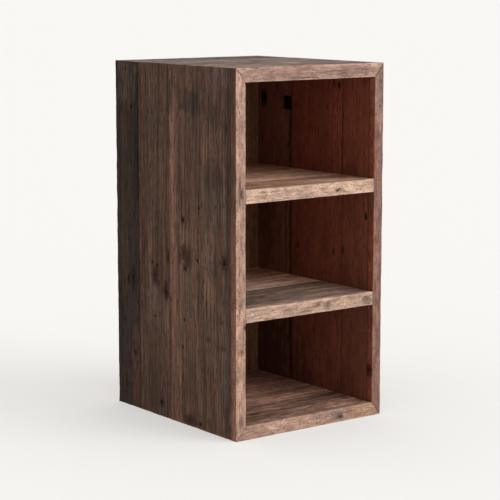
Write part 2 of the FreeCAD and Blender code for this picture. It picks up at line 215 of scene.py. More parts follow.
def mitre(points, low, high, tapered, outer_high, shorten):
    """Shears both ends, so that the inner face is shorter than the outer one by shorten at each end."""
    inward = (points[:, tapered] - low[tapered]) / (high[tapered] - low[tapered])
    if outer_high:
        inward = 1 - inward
    near_low = np.clip(1 - (points[:, 0] - low[0]) / MITRE_RUN, 0, 1)
    near_high = np.clip(1 - (high[0] - points[:, 0]) / MITRE_RUN, 0, 1)
    points[:, 0] += shorten * inward * (near_low - near_high)


def board_mesh(node, order, spec, seed):
    """The detailed mesh of one board, in the CAD node's own box, with the point attributes that timber reads.

    worn and jointed say how near a worn arris or a joint is, and sunk how dark a flaw is: its own dirt and
    painted shade in the hollow. One attribute marks the low side across the board, where some looks paint
    shade, and inner marks the face towards the compartments.
    """
    box_low, box_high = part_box(node)
    low = np.round([box_low[axis] / MM for axis in order], 3)
    high = np.round([box_high[axis] / MM for axis in order], 3)
    flaws = spec.get("flaws", [])
    extra_along, extra_across = flaw_lines(flaws)
    spacing = spec.get("spacing", BOARD_SPACING)
    lines = [grid_lines(low[0], high[0], spacing, extra_along),
             grid_lines(low[1], high[1], spacing, extra_across),
             grid_lines(low[2], high[2], DEEP_SPACING, [])]
    points, quads = box_surface(lines)
    start = points.copy()
    face_high = spec.get("face", "-") == "+"
    faced = start[:, 2] == (high[2] if face_high else low[2])
    sunk = flaw_depth(start, flaws, seed)
    wave = LONG_WAVE * noise_at(start, LONG_SCALE, seed)
    wave += SHORT_WAVE * noise_at(start, SHORT_SCALE, seed + 5)
    settle = spec.get("settle", 0.0)
    for axis in range(3):
        for side in (0, 1):
            place = (low, high)[side][axis]
            on_outside = abs(place - CAD_BOX[side][order[axis]] / MM) < 0.01
            if axis == 1 and not on_outside:
                continue    # glued to the next board, so no gap opens between them
            on_face = start[:, axis] == place
            inward = -1 if side else 1
            inset = SKIN + np.clip(wave, *WAVE_LIMITS) + (settle if axis == 2 else 0.0)
            points[on_face, axis] += inward * inset[on_face]
    worn, jointed = soften(points, low, high, spec.get("radii", {}), seed)
    reach = high[2] - sunk if face_high else low[2] + sunk
    dented = sunk > 0
    if face_high:
        points[dented, 2] = np.minimum(points[dented, 2], reach[dented])
    else:
        points[dented, 2] = np.maximum(points[dented, 2], reach[dented])
    if "mitre" in spec:
        mitre(points, low, high, *spec["mitre"])
    shaded_flank = start[:, 1] == low[1]
    inside_high = spec.get("inside", "+") == "+"
    inner = (start[:, 2] == (high[2] if inside_high else low[2])) & (start[:, 1] < PANEL_MIDDLE)
    dark_depth = flaw_depth(start, flaws, seed, grown=DARK_GROWTH)
    dark = np.where(faced, np.clip(dark_depth / DARK_DEPTH, 0, 1), 0.0)
    world = np.empty_like(points)
    world[:, list(order)] = points * MM
    flipped = np.linalg.det(np.eye(3)[list(order)]) < 0
    if flipped:
        quads = quads[:, ::-1]
    mesh = bpy.data.meshes.new(node + ".detail")
    mesh.from_pydata(world.tolist(), [], quads.tolist())
    layers = {"worn": worn, "jointed": jointed, "sunk": dark, "shaded_flank": shaded_flank, "inner": inner}
    for name, values in layers.items():
        layer = mesh.attributes.new(name, "FLOAT", "POINT")
        layer.data.foreach_set("value", values.astype(np.float32))
    mesh.validate()
    mesh.shade_smooth()
    return mesh


# ---------------------------------------------------------------- shader helpers

class Shader:
    """Writes a node tree in few words: each method adds a node and returns what comes out of it."""

    def __init__(self, tree):
        self.tree = tree

    def add(self, kind, inputs=None, **settings):
        """A node with these settings. Its inputs are linked where the value is a socket, and set elsewhere."""
        node = self.tree.nodes.new(kind)
        for key, value in settings.items():
            setattr(node, key, value)
        for key, value in (inputs or {}).items():
            if isinstance(value, bpy.types.NodeSocket):
                self.tree.links.new(value, node.inputs[key])
            else:
                node.inputs[key].default_value = value
        return node

    def math(self, operation, first, second=0.0, third=0.0):
        return self.add("ShaderNodeMath", {0: first, 1: second, 2: third}, operation=operation).outputs[0]

    def vector(self, operation, first, second=(0, 0, 0)):
        return self.add("ShaderNodeVectorMath", {0: first, 1: second}, operation=operation).outputs[0]

    def scale(self, vector, factor):
        return self.add("ShaderNodeVectorMath", {0: vector, 3: factor}, operation="SCALE").outputs[0]

    def length(self, vector):
        return self.add("ShaderNodeVectorMath", {0: vector}, operation="LENGTH").outputs["Value"]

    def split(self, vector):
        return self.add("ShaderNodeSeparateXYZ", {0: vector}).outputs

    def join(self, first, second, third):
        return self.add("ShaderNodeCombineXYZ", {0: first, 1: second, 2: third}).outputs[0]

    def noise(self, vector, detail=2.0, roughness=0.5):
        values = {"Vector": vector, "Scale": 1.0, "Detail": detail, "Roughness": roughness}
        return self.add("ShaderNodeTexNoise", values).outputs[0]

    def wobble(self, vector):
        values = {"Vector": vector, "Scale": 1.0, "Detail": 2.0}
        return self.vector("SUBTRACT", self.add("ShaderNodeTexNoise", values).outputs[1], (0.5, 0.5, 0.5))

    def fade(self, value, low, high, start=0.0, end=1.0):
        values = {0: value, 1: low, 2: high, 3: start, 4: end}
        return self.add("ShaderNodeMapRange", values, interpolation_type="SMOOTHSTEP").outputs[0]

    def mix(self, share, first, second):
        values = {0: share, 6: opaque(first), 7: opaque(second)}
        return self.add("ShaderNodeMix", values, data_type="RGBA").outputs[2]

    def attribute(self, name):
        return self.add("ShaderNodeAttribute", attribute_name=name).outputs["Fac"]


def opaque(value):
    """A socket as it is, or three linear shares of red, green and blue with full opacity."""
    return value if isinstance(value, bpy.types.NodeSocket) else (*value, 1.0)


def scaled(value, factor):
    return tuple(channel * factor for channel in value)


def open_group(name, inputs, outputs):
    """A new node group's Shader and its input sockets by name."""
    tree = bpy.data.node_groups.new(name, "ShaderNodeTree")
    for label, kind in inputs:
        tree.interface.new_socket(label, in_out="INPUT", socket_type="NodeSocket" + kind)
    for label in outputs:
        tree.interface.new_socket(label, in_out="OUTPUT", socket_type="NodeSocketFloat")
    return Shader(tree), tree.nodes.new("NodeGroupInput").outputs


def close_group(shader, results):
    shader.add("NodeGroupOutput", results)
    return shader.tree


# Scales of the timber's noises along, across and deep, per millimetre. A small one makes large marks.
SLOW_WANDER = (0.004, 0.012, 0.012)
QUICK_WANDER = (0.02, 0.05, 0.05)
FIBRE_SCALE = (0.03, 0.8, 0.8)
DASH_SCALE = (0.05, 0.33, 0.33)
CLOUD_SCALE = (0.009, 0.02, 0.02)
MOTTLE_SCALE = (0.03, 0.07, 0.07)
SPECK_SCALE = (0.25, 0.42, 0.42)
KNOT_SCALE = (0.13, 0.13, 0.13)
PATCH_SCALE = (0.03, 0.12, 0.12)
STAIN_SCALE = (0.028, 0.075, 0.0)


def make_grain():
    """Wood cut from a log: growth rings round a pith, bands and lines that follow them, fibres and dashes."""
    s, given = open_group("timber_grain",
                          (("Point", "Vector"), ("Pith", "Vector"), ("Bulge", "Float"),
                           ("Pitch", "Float"), ("Wander", "Float"), ("Seed", "Vector")),
                          ("Rings", "Bands", "Lines", "Fibres", "Dashes", "Clouds", "Mottle", "Specks"))
    seeded = s.vector("ADD", given["Point"], given["Seed"])
    along, across, deep = s.split(given["Point"])
    tilt, pith_across, pith_deep = s.split(given["Pith"])
    slow = s.noise(s.vector("MULTIPLY", seeded, SLOW_WANDER), 2.0)
    quick = s.noise(s.vector("MULTIPLY", seeded, QUICK_WANDER), 2.0)
    wander = s.math("MULTIPLY", s.math("SUBTRACT", slow, 0.5), given["Wander"])
    wander = s.math("MULTIPLY_ADD", s.math("SUBTRACT", quick, 0.5), 2.5, wander)
    side = s.math("ADD", s.math("SUBTRACT", across, pith_across), wander)
    down = s.math("MULTIPLY_ADD", along, tilt, s.math("SUBTRACT", deep, pith_deep))
    radius = s.math("ADD", s.length(s.join(side, down, 0.0)), given["Bulge"])
    years = s.math("DIVIDE", radius, given["Pitch"])
    uneven = s.noise(s.join(s.math("MULTIPLY", years, 0.4), 3.0, 0.0), 1.0)
    part = s.math("FRACT", s.math("MULTIPLY_ADD", uneven, 2.6, years))
    rings = s.math("MULTIPLY", s.fade(part, 0.15, 0.86), s.fade(part, 0.9, 1.0, 1.0, 0.0))
    seed_across = s.split(given["Seed"])[1]
    banded = s.math("MULTIPLY_ADD", radius, 0.040, seed_across)
    bands = s.noise(s.join(s.math("MULTIPLY", along, 0.0022), banded, 0.0), 3.0, 0.6)
    lined = s.math("MULTIPLY_ADD", radius, 0.24, seed_across)
    lines = s.noise(s.join(s.math("MULTIPLY", along, 0.0045), lined, 5.0), 3.0, 0.65)
    bent = s.join(along, s.math("ADD", across, wander), s.math("ADD", deep, wander))
    bent = s.vector("ADD", bent, given["Seed"])
    fibres = s.noise(s.vector("MULTIPLY", bent, FIBRE_SCALE), 3.0, 0.6)
    dashes = s.noise(s.vector("MULTIPLY", bent, DASH_SCALE), 1.0)
    clouds = s.noise(s.vector("MULTIPLY", seeded, CLOUD_SCALE), 4.0, 0.6)
    mottle = s.noise(s.vector("MULTIPLY", seeded, MOTTLE_SCALE), 4.0, 0.65)
    specks = s.noise(s.vector("MULTIPLY", seeded, SPECK_SCALE), 2.0, 0.6)
    return close_group(s, {"Rings": rings, "Bands": s.fade(bands, 0.3, 0.7),
                           "Lines": s.fade(lines, 0.3, 0.72), "Fibres": fibres,
                           "Dashes": s.fade(dashes, 0.61, 0.69),
                           "Clouds": s.fade(clouds, 0.3, 0.7), "Mottle": s.fade(mottle, 0.3, 0.7),
                           "Specks": s.fade(specks, 0.54, 0.68)})


def make_knot():
    """A knot: how far it pushes the rings aside, its body, its rim, its cracked heart and its halo."""
    s, given = open_group("timber_knot", (("Point", "Vector"), ("Centre", "Vector"), ("Shrink", "Vector")),
                          ("Bulge", "Body", "Rim", "Heart", "Halo"))
    offset = s.vector("SUBTRACT", given["Point"], given["Centre"])
    offset = s.vector("MULTIPLY", offset, given["Shrink"])
    ragged = s.wobble(s.vector("MULTIPLY", given["Point"], KNOT_SCALE))
    share = s.length(s.vector("ADD", offset, s.vector("MULTIPLY", ragged, (1.3, 1.3, 0.0))))
    bulge = s.math("POWER", s.math("MULTIPLY_ADD", share, share, 1.0), -1.5)
    body = s.fade(share, 0.75, 1.1, 1.0, 0.0)
    rim = s.math("MULTIPLY", s.fade(share, 0.6, 0.9), s.fade(share, 0.95, 1.3, 1.0, 0.0))
    heart = s.fade(share, 0.3, 0.65, 1.0, 0.0)
    halo = s.fade(share, 0.8, 2.3, 1.0, 0.0)
    return close_group(s, {"Bulge": bulge, "Body": body, "Rim": rim, "Heart": heart, "Halo": halo})


GRAIN = make_grain()
KNOT = make_knot()
PITH = (0.012, -300.0, -160.0)          # the pith's tilt along the board, and where it lies across and deep
RING_PITCH = 3.6
WANDER = 9.0            # how far the grain strays, if a look doesn't say
BOARD_TONE = 0.88       # a board's tone before its grain lightens and darkens it
# Each part of the grain: its low and high values, how far it swings the tone, and the look's key that
# scales that swing.
TONE_SWINGS = {"Bands": (0, 1, 0.16, "streaky"), "Lines": (0, 1, 0.24, "streaky"),
               "Rings": (0, 1, 0.08, "streaky"), "Fibres": (0.3, 0.7, 0.16, "contrast"),
               "Mottle": (0, 1, 0.18, "mottled")}
STAIN_REACH = (2.6, 2.6, 0.0)           # how far noise moves a stain's edge, in its half sizes
INNER_LIGHT_HEIGHTS = (150.0, 750.0)          # over these heights the inner colour is multiplied, as painted light that is brighter and redder higher up, by these, low and high
INNER_LIGHT_SHARES = ((1.17, 1.20, 1.20), (1.42, 1.20, 1.12))         # by these, low and high
FALL_HEIGHTS = (250.0, 780.0)           # over these heights a look's fall darkens the board
SHADED_FLANK_HEIGHTS = (-100.0, 880.0)         # over these heights a look's painted shade on the low side goes from its foot value to its head value
KNOT_SHARES = (0.36, 0.27, 0.23)        # a knot's colour, as shares of the board's
SPECK_TONE = 0.3        # the colour of specks, as a share of the board's, and so on below
DASH_TONE = 0.25
WORN_TONE = 1.8
SEAM_TONE = 0.10
FLAW_TONE = 0.09
WEAR_SHARE = 0.4        # how much of the worn colour an arris takes
SEAM_SHARE = 0.8        # how much of the seam colour a joint takes
SEED_SHIFT = (173.0, 91.0, 57.0)        # moves a board's grain, so that no two boards are alike
ROUGHNESS = 0.62
SPECULAR = 0.12
BUMP_STRENGTH = 0.5
BUMP_DEPTH = 0.0009     # metres


def stained_and_shaded(s, paint, flat, ragged, stains):
    """The paint with ragged oval patches of other colours over it: stains, and painted shade where a look asks
    for it.
    """
    for at, beside, half_long, half_wide, colour, strength in stains:
        offset = s.vector("SUBTRACT", flat, (at, beside, 0))
        offset = s.vector("MULTIPLY", offset, (1 / half_long, 1 / half_wide, 0))
        offset = s.vector("ADD", offset, ragged)
        paint = s.mix(s.fade(s.length(offset), 0.55, 1.25, strength, 0.0), paint, colour)
    return paint


def timber(name, order, look, seed):
    """A material of weathered timber, with this board's own colours, knots and stains."""
    material = bpy.data.materials.new(name)
    material.use_nodes = True
    s = Shader(material.node_tree)
    s.tree.nodes.clear()
    parts = s.split(s.add("ShaderNodeTexCoord").outputs["Object"])
    point = s.scale(s.join(*(parts[axis] for axis in order)), 1 / MM)
    start = scaled(SEED_SHIFT, seed)
    flat = s.vector("MULTIPLY", point, (1, 1, 0))
    base = look["base"]

    bulge = 0.0
    knots = []
    for at, beside, half_long, half_wide, strength in look.get("knots", []):
        shrink = (1 / half_long, 1 / half_wide, 0)
        knot = s.add("ShaderNodeGroup", {"Point": flat, "Centre": (at, beside, 0), "Shrink": shrink},
                     node_tree=KNOT).outputs
        bulge = s.math("MULTIPLY_ADD", knot["Bulge"], half_wide * 0.6, bulge)
        knots.append((knot, strength))
    grain = s.add("ShaderNodeGroup", {"Point": point, "Pith": PITH, "Bulge": bulge, "Pitch": RING_PITCH,
                                      "Wander": look.get("wander", WANDER), "Seed": start},
                  node_tree=GRAIN).outputs
    tones = BOARD_TONE
    for part, (low, high, most, key) in TONE_SWINGS.items():
        swing = most * look.get(key, 1.0)
        tones = s.math("MULTIPLY", s.fade(grain[part], low, high, 1 + swing, 1 - swing), tones)
    paint = s.mix(grain["Clouds"], scaled(base, 1.1), look.get("tint", scaled(base, 0.8)))

    ragged = s.wobble(s.vector("MULTIPLY", s.vector("ADD", point, start), STAIN_SCALE))
    ragged = s.vector("MULTIPLY", ragged, STAIN_REACH)
    paint = stained_and_shaded(s, paint, flat, ragged, look.get("stains", []))
    # The inner colour is partly the inner faces' own redder colour and partly painted warm shade.
    if "inner" in look:
        inner = look["inner"]
        inner_paint = s.mix(grain["Clouds"], scaled(inner, 1.05), scaled(inner, 0.88))
        # Painted light: the inner colour grows brighter and redder higher up.
        raised = s.fade(s.split(point)[0], *INNER_LIGHT_HEIGHTS)
        inner_paint = s.vector("MULTIPLY", inner_paint, s.mix(raised, *INNER_LIGHT_SHARES))
        inner_paint = stained_and_shaded(s, inner_paint, flat, ragged, look.get("inner_stains_and_shade", []))
        paint = s.mix(s.attribute("inner"), paint, inner_paint)
    if "fall" in look:
        fallen = s.fade(s.split(point)[0], *FALL_HEIGHTS, 1.0, 1 - look["fall"])
        tones = s.math("MULTIPLY", fallen, tones)
    paint = s.scale(paint, tones)

    specks = s.math("MULTIPLY", grain["Specks"], look.get("specks", 0.25))
    paint = s.mix(specks, paint, scaled(base, SPECK_TONE))
    dashes = s.math("MULTIPLY", grain["Dashes"], look.get("dashes", 0.6))
    paint = s.mix(dashes, paint, scaled(base, DASH_TONE))
    knot_paint = look.get("knot", tuple(channel * share for channel, share in zip(base, KNOT_SHARES)))
    for knot, strength in knots:
        for part, share, tone in (("Halo", 0.18, knot_paint), ("Body", 1.0, knot_paint),
                                  ("Rim", 0.3, scaled(base, 0.18)), ("Heart", 0.85, scaled(base, 0.1))):
            paint = s.mix(s.math("MULTIPLY", knot[part], share * strength), paint, tone)

    patchy = s.fade(s.noise(s.vector("MULTIPLY", point, PATCH_SCALE), 3.0), 0.35, 0.65)
    worn = s.math("MULTIPLY", s.attribute("worn"), patchy)
    paint = s.mix(s.math("MULTIPLY", worn, WEAR_SHARE), paint, scaled(base, WORN_TONE))
    jointed = s.math("MULTIPLY", s.attribute("jointed"), SEAM_SHARE)
    paint = s.mix(jointed, paint, scaled(base, SEAM_TONE))
    # Holes, cracks and the mortise go dark: their own dirt and painted shade in the hollow.
    paint = s.mix(s.attribute("sunk"), paint, scaled(base, FLAW_TONE))
    # Painted shade on the low side across the board, where a look asks for it: that side is a darker copy of
    # the same wood.
    if "shaded_flank" in look:
        share = s.mix(s.fade(s.split(point)[0], *SHADED_FLANK_HEIGHTS), *look["shaded_flank"])
        paint = s.mix(s.attribute("shaded_flank"), paint, s.vector("MULTIPLY", paint, share))

    relief = s.math("MULTIPLY_ADD", grain["Rings"], 0.3, s.math("MULTIPLY", grain["Fibres"], 0.8))
    for part, amount in (("Dashes", -0.8), ("Lines", -0.5), ("Specks", -0.3)):
        relief = s.math("MULTIPLY_ADD", grain[part], amount, relief)
    bump = s.add("ShaderNodeBump", {"Strength": BUMP_STRENGTH, "Distance": BUMP_DEPTH, "Height": relief})
    rough = ROUGHNESS
    for part, amount in (("Lines", 0.10), ("Dashes", 0.12), ("Fibres", 0.16)):
        rough = s.math("MULTIPLY_ADD", grain[part], amount, rough)
    surface = s.add("ShaderNodeBsdfPrincipled", {"Base Color": paint, "Roughness": rough,
                                                 "Normal": bump.outputs[0], "Specular IOR Level": SPECULAR})
    s.add("ShaderNodeOutputMaterial", {"Surface": surface.outputs[0]})
    return material


# ---------------------------------------------------------------- the boards

LEFT_MITRE = (2, False, LEVEL_THICK)
RIGHT_MITRE = (2, True, LEVEL_THICK)
TOP_MITRE = (2, True, SIDE_THICK)
BOTTOM_MITRE = (2, False, SIDE_THICK)
TIP = 1.5               # radius of a mitre's outer corner
WORN = 2.2              # radius of a worn arris
REAR_INNER = 1.3        # radius of the carcass's rear arris on its inner side
LEFT_TIPS = {"a-c-": TIP, "a+c-": TIP}
RIGHT_TIPS = {"a-c+": TIP, "a+c+": TIP}
FULL = 900.0            # half length of a band that runs the whole board

BROWN = (0.109, 0.055, 0.035)
OLIVE = (0.086, 0.042, 0.0255)
SLATE = (0.0335, 0.0142, 0.0084)
PINK = (0.154, 0.071, 0.048)
BLUISH = (0.046, 0.028, 0.022)
TOP_GREY = (0.213, 0.145, 0.119)
INNER_DARK = (0.030, 0.013, 0.009)
SHELF_GREY = (0.335, 0.233, 0.185)
FLOOR_BROWN = (0.348, 0.202, 0.148)
EDGE_TAN = (0.424, 0.259, 0.196)
EDGE_LIGHT = (0.519, 0.345, 0.261)
EDGE_PINK = (0.226, 0.119, 0.091)
BACK_BROWN = (0.260, 0.119, 0.062)

# The sides' inner colour is partly their own redder colour and partly painted warm shade.
LEFT_LOOK = dict(streaky=1.5, mottled=0.8, contrast=1.6, specks=0.5, dashes=0.85, inner=(0.140, 0.062, 0.040))
RIGHT_LOOK = dict(streaky=0.45, mottled=0.5)
TOP_LOOK = dict(streaky=2.0, mottled=1.8, specks=0.4, dashes=0.85)
BOTTOM_LOOK = dict(wander=30.0, dashes=0.9)
LOWER_SHELF_LOOK = dict(contrast=1.3, streaky=1.6, dashes=0.9)
EDGE_LOOK = dict(streaky=0.5, mottled=1.3, specks=0.85)

# The boards stay in this order, because a board's number seeds its noise. Places are along and across, in mm.
# A board has an order of axes, and it may have:
#   mitre: what mitre() takes. radii: of its arrises, such as "a-c+": a is along, b across, c deep, and the
#   sign is the side. settle: how far its broad faces lie in from the others'. spacing: of its grid.
#   face: the broad side that has its flaws. inside: the broad side that has its inner colour.
#   flaws: kind, place, half length, half width, depth.
# Its look has a base colour, and it may have:
#   tint: the other colour of its clouds. contrast, streaky, mottled, specks, dashes: how strong each one is.
#   wander: how far the grain strays. fall: how much darker the upper end is. inner: colour of the inner face,
#       partly its own redder colour and partly painted warm shade.
#   painted shade on the low side: what its colour is multiplied by at the foot and at the head. knot: colour
#       of its knots.
#   knots: place, half sizes, strength. stains, and the inner face's stains and painted shade: place, half
#       sizes, colour, strength.
BOARDS = {
    "left_side_board_front": dict(
        order=PLANK, mitre=LEFT_MITRE, radii=LEFT_TIPS,
        flaws=[("hole", 449, -35, 4, 3, 4), ("crack", 462, -31, 52, 1.5, 1.8), ("hole", 481, -94, 3, 2.4, 3),
               ("hole", 345, -43, 4, 2.6, 2.5), ("hole", 368, -88, 2.6, 2.2, 2.5),
               ("hole", 374, -186, 5, 4, 2.5), ("crack", 258, -12, 30, 1.4, 1.6),
               ("crack", 280, -120, 30, 1.4, 1.6), ("hole", 12, -97, 3, 2.6, 2.5),
               ("hole", 232, -40, 2, 1.8, 2.5), ("hole", 172, -32, 2.2, 1.8, 2.5)],
        look=dict(LEFT_LOOK, base=scaled(BROWN, 1.08), tint=(0.085, 0.047, 0.034), fall=0.22,
                  knots=[(378, -36, 18, 9, 0.8), (368, -54, 20, 10, 0.7), (345, -43, 7, 6, 0.9),
                         (374, -186, 16, 14, 1.0), (449, -35, 8, 6, 0.9), (481, -94, 5, 4, 0.9),
                         (368, -88, 5, 4, 0.8), (335, -92, 7, 4, 0.5), (13, -60, 13, 26, 0.8),
                         (12, -97, 6, 6, 0.9), (488, -153, 5, 4, 0.5), (203, -128, 7, 9, 0.5),
                         (192, -180, 6, 10, 0.5), (655, -192, 12, 8, 0.7), (232, -40, 4, 3.5, 0.7),
                         (172, -32, 4, 3.5, 0.7)],
                  stains=[(60, -100, 90, 130, (0.080, 0.041, 0.027), 0.6),
                          (390, -1, FULL, 17, PINK, 0.75),
                          (600, -5, 230, 15, (0.225, 0.118, 0.092), 0.6),
                          (390, -197, FULL, 10, BLUISH, 0.75),
                          (140, -186, 110, 13, (0.078, 0.056, 0.050), 0.6),
                          (700, -70, 26, 50, (0.043, 0.027, 0.020), 0.85),
                          (676, -145, 34, 40, (0.048, 0.030, 0.022), 0.8),
                          (548, -140, 40, 32, (0.054, 0.034, 0.025), 0.75),
                          (480, -150, 60, 40, (0.084, 0.058, 0.048), 0.5),
                          (760, -180, 18, 60, (0.112, 0.070, 0.062), 0.5),
                          (352, -134, 24, 22, (0.046, 0.027, 0.019), 0.7),
                          (374, -46, 26, 22, (0.044, 0.026, 0.018), 0.75),
                          (320, -130, 110, 16, (0.150, 0.090, 0.066), 0.4)])),
    "left_side_board_middle": dict(
        order=PLANK, mitre=LEFT_MITRE, radii=dict(LEFT_TIPS, **{"b+c-": 1.0}), settle=0.25,
        flaws=[("hole", 283, 31, 7, 3, 2.5), ("hole", 343, 83, 2.5, 2, 2.5), ("hole", 338, 65, 4, 2.4, 2),
               ("crack", 640, 60, 60, 1.4, 1.6), ("hole", 32, 50, 4, 4, 2.5), ("hole", 223, 75, 2, 1.8, 2)],
        look=dict(LEFT_LOOK, base=OLIVE, tint=(0.072, 0.040, 0.027),
                  knots=[(315, 72, 20, 10, 1.0), (285, 31, 24, 10, 1.0), (362, 20, 17, 8, 0.9),
                         (343, 83, 5, 4, 0.8), (338, 65, 7, 4.5, 0.8), (32, 50, 10, 8, 1.0),
                         (385, 110, 20, 4, 0.45), (75, 40, 4, 4, 0.5), (223, 75, 4, 4, 0.7)],
                  stains=[(450, 131, 130, 4, (0.165, 0.088, 0.066), 0.75),
                          (50, 76, 80, 80, (0.060, 0.032, 0.021), 0.75),
                          (600, 60, 120, 26, (0.055, 0.033, 0.023), 0.6),
                          (560, 127, 300, 9, (0.056, 0.023, 0.013), 0.8),
                          (240, 60, 60, 60, (0.130, 0.076, 0.054), 0.5)])),
    "left_side_board_rear": dict(
        order=PLANK, mitre=LEFT_MITRE, settle=0.45,
        radii=dict(LEFT_TIPS, **{"b+c-": WORN, "b+c+": REAR_INNER, "b-c-": 1.0}),
        flaws=[("hole", 680, 163, 3, 2.4, 2.5), ("hole", 297, 160, 9, 3, 2.2), ("hole", 293, 179, 6, 1.6, 2),
               ("hole", 127, 154, 3, 2.6, 2.5), ("crack", 600, 137.6, 160, 1.6, 2.5)],
        look=dict(LEFT_LOOK, base=SLATE, tint=(0.026, 0.017, 0.014),
                  knots=[(297, 160, 27, 9, 1.0), (293, 179, 15, 5, 0.9), (680, 163, 6, 5, 0.9),
                         (127, 154, 6, 5, 0.8), (285, 195, 9, 4, 0.4), (50, 192, 12, 8, 0.5)],
                  stains=[(90, 150, 130, 20, (0.076, 0.034, 0.024), 0.75),
                          (740, 180, 60, 40, (0.070, 0.044, 0.034), 0.7),
                          (450, 150, 190, 13, (0.025, 0.015, 0.011), 0.7),
                          (630, 141, 180, 10, (0.012, 0.007, 0.005), 0.95),
                          (420, 200, 200, 16, (0.042, 0.028, 0.020), 0.5)])),
    "right_side_board_front": dict(
        order=PLANK, mitre=RIGHT_MITRE, radii=RIGHT_TIPS, inside="-",
        look=dict(RIGHT_LOOK, base=BROWN, tint=(0.082, 0.045, 0.032), inner=(0.157, 0.049, 0.028),
                  knots=[(443, -199, 9, 5, 0.9), (660, -119, 9, 2.5, 0.7), (359, -121, 10, 5, 0.8)])),
    "right_side_board_middle": dict(
        order=PLANK, mitre=RIGHT_MITRE, radii=RIGHT_TIPS, settle=0.2, inside="-",
        look=dict(RIGHT_LOOK, base=OLIVE, tint=(0.072, 0.040, 0.027), inner=(0.195, 0.060, 0.036),
                  knots=[(727, -104, 8, 4.5, 1.0), (730, -86, 9, 3.5, 0.7), (352, -89, 8, 4, 0.8),
                         (352, 39, 8, 5, 0.7)],
                  inner_stains_and_shade=[(600, -116.5, 150, 2.5, INNER_DARK, 0.6),
                                # painted shade low in the bottom compartment, near its floor
                                (40, 40, 90, 60, (0.110, 0.040, 0.026), 0.7),
                                (130, 60, 120, 5, INNER_DARK, 0.5)])),
    "right_side_board_rear": dict(
        order=PLANK, mitre=RIGHT_MITRE, settle=0.1, inside="-",
        radii=dict(RIGHT_TIPS, **{"b+c+": WORN, "b+c-": REAR_INNER}),
        flaws=[("slot", 678, 78.5, 15, 14, 7)],
        look=dict(RIGHT_LOOK, base=(0.098, 0.052, 0.037), tint=(0.066, 0.038, 0.028),
                  inner=(0.193, 0.076, 0.056), knots=[(684, 168, 20, 11, 1.0), (583, 75, 4, 3, 0.7)],
                  inner_stains_and_shade=[(600, 70, 75, 5, INNER_DARK, 0.85), (390, 67, 140, 4, INNER_DARK, 0.9),
                                (130, 67, 130, 4, INNER_DARK, 0.9), (390, 84, 120, 3, INNER_DARK, 0.7),
                                (140, 86, 110, 3, INNER_DARK, 0.6),
                                # painted shade at the rear of the bottom and middle compartments
                                (60, 150, 150, 90, (0.080, 0.030, 0.018), 0.8),
                                (400, 160, 100, 50, (0.110, 0.038, 0.022), 0.6)])),
    "top_board_front": dict(
        order=SHELF, mitre=TOP_MITRE, face="+", radii=RIGHT_TIPS, settle=0.1,
        look=dict(TOP_LOOK, base=TOP_GREY, tint=scaled(TOP_GREY, 0.7),
                  stains=[(-150, -150, 90, 60, (0.30, 0.215, 0.17), 0.6),
                          (90, -130, 100, 60, (0.31, 0.225, 0.18), 0.6)])),
    "top_board_middle": dict(
        order=SHELF, mitre=TOP_MITRE, face="+", radii=RIGHT_TIPS,
        look=dict(TOP_LOOK, base=scaled(TOP_GREY, 0.95), tint=(0.15, 0.11, 0.095),
                  stains=[(-110, 0, 100, 60, (0.38, 0.28, 0.225), 0.8)])),
    "top_board_rear": dict(
        order=SHELF, mitre=TOP_MITRE, face="+", settle=0.2,
        radii=dict(RIGHT_TIPS, **{"b+c+": WORN, "b+c-": REAR_INNER}),
        look=dict(TOP_LOOK, base=(0.20, 0.145, 0.125), tint=(0.12, 0.09, 0.08),
                  stains=[(0, 170, FULL, 20, (0.130, 0.095, 0.095), 0.7),
                          (110, 150, 140, 70, (0.088, 0.064, 0.058), 0.85)])),
    "bottom_board_front": dict(
        order=SHELF, mitre=BOTTOM_MITRE, face="+", radii=dict(LEFT_TIPS, **{"b-c+": 0.9}),
        look=dict(BOTTOM_LOOK, base=FLOOR_BROWN, contrast=1.7, streaky=1.9, mottled=1.6,
                  knots=[(-100, -150, 16, 8, 0.7), (-140, -120, 12, 7, 0.6)])),
    # The middle and rear bottom boards are paler partly by their own colour and partly by painted light,
    # making up for the shade deep in the compartment.
    "bottom_board_middle": dict(
        order=SHELF, mitre=BOTTOM_MITRE, face="+", radii=LEFT_TIPS, settle=0.2,
        look=dict(BOTTOM_LOOK, base=scaled(FLOOR_BROWN, 1.75), contrast=1.7, streaky=1.7, mottled=1.3,
                  knots=[(-120, -40, 14, 8, 0.7)])),
    "bottom_board_rear": dict(
        order=SHELF, mitre=BOTTOM_MITRE, face="+", settle=0.1,
        radii=dict(LEFT_TIPS, **{"b+c-": WORN, "b+c+": REAR_INNER}),
        look=dict(BOTTOM_LOOK, base=scaled(FLOOR_BROWN, 1.4), contrast=1.6, streaky=1.5, mottled=1.2)),
    "upper_shelf_board_front": dict(
        order=SHELF, face="+", look=dict(base=(0.576, 0.314, 0.204), dashes=0.7, streaky=1.4)),
    # The middle and rear upper shelf boards are paler partly by their own colour and partly by painted light,
    # making up for the shade deep in the compartment.
    "upper_shelf_board_middle": dict(
        order=SHELF, face="+", settle=0.3, look=dict(base=(0.86, 0.52, 0.37), dashes=0.7, streaky=1.2)),
    "upper_shelf_board_rear": dict(
        order=SHELF, face="+", settle=0.1, look=dict(base=(0.74, 0.39, 0.24), dashes=0.7, streaky=1.2)),
    "lower_shelf_board_front": dict(
        order=SHELF, face="+",
        flaws=[("crack", -10, -112, 70, 1.6, 2.2), ("crack", 30, -160, 60, 1.2, 2.0)],
        look=dict(base=SHELF_GREY, tint=(0.22, 0.165, 0.13), contrast=1.8, streaky=1.5, mottled=1.2,
                  wander=24.0, dashes=0.9, knots=[(-60, -130, 14, 8, 0.6)],
                  stains=[(120, -130, 100, 60, (0.357, 0.224, 0.177), 0.85),
